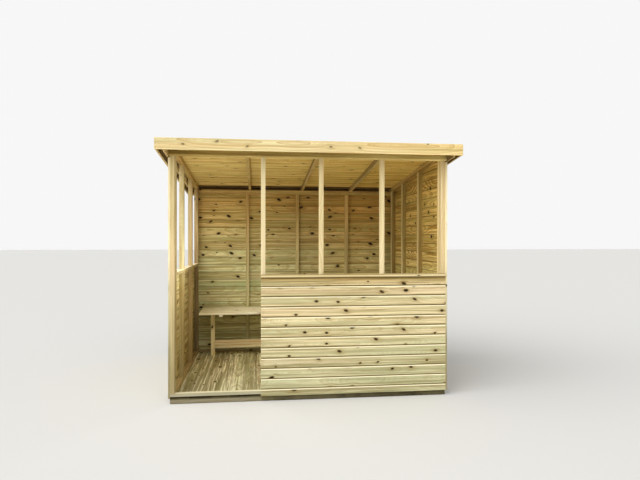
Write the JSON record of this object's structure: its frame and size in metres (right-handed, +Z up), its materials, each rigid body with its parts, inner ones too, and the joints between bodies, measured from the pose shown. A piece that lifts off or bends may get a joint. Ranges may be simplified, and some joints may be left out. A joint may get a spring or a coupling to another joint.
{
  "type": "open-fronted timber shelter",
  "caption": "Timber pent-roof shelter with an open doorway, unglazed bays over half-height shiplap panels, a boarded floor and a bench along the back wall.",
  "frame": {"origin": "on the ground under the middle of the roof", "axes": "+Z up; the open front faces -Y and the roof falls towards +Y; +X runs along the front from the doorway end"},
  "size_m": [2.6, 2.066, 2.2217],
  "materials": {
    "framing_wood": "planed, pressure treated softwood",
    "cladding_wood": "planed shiplap, pressure treated softwood",
    "trim_wood": "planed, pressure treated softwood",
    "floor_wood": "tongued and grooved boards, lightly soiled",
    "bearer_wood": "rough sawn, weathered",
    "bench_wood": "planed, pressure treated softwood",
    "roof_felt": "mineral-surfaced roofing felt"
  },
  "bodies": {
    "root": {"back_cladding": "cladding_wood", "back_corner_strips": "framing_wood", "back_fascia": "trim_wood", "back_sole_plate": "framing_wood", "back_studs": "framing_wood", "back_top_rail": "framing_wood", "barge_boards": "trim_wood", "bench_battens": "bench_wood", "bench_ledger": "bench_wood", "bench_legs": "bench_wood", "bench_seat": "bench_wood", "bench_stretcher": "bench_wood", "door_jamb_post": "framing_wood", "eaves_boards": "trim_wood", "floor_bearers": "bearer_wood", "floor_boards": "floor_wood", "front_cladding": "cladding_wood", "front_corner_strips": "framing_wood", "front_fascia": "trim_wood", "front_header": "framing_wood", "front_left_post": "framing_wood", "front_mullion_left": "framing_wood", "front_mullion_right": "framing_wood", "front_right_post": "framing_wood", "front_sill": "framing_wood", "front_sill_rails": "framing_wood", "front_sole_plate": "framing_wood", "left_back_stud": "framing_wood", "left_cladding": "cladding_wood", "left_front_stud": "framing_wood", "left_mullion_back": "framing_wood", "left_mullion_front": "framing_wood", "left_sill": "framing_wood", "left_sill_rails": "framing_wood", "left_sole_plate": "framing_wood", "left_top_rail": "framing_wood", "rafters": "framing_wood", "right_back_stud": "framing_wood", "right_cladding": "cladding_wood", "right_front_stud": "framing_wood", "right_middle_studs": "framing_wood", "right_sole_plate": "framing_wood", "right_top_rail": "framing_wood", "roof_boards": "cladding_wood", "roof_felt": "roof_felt"}
  },
  "joints": []
}
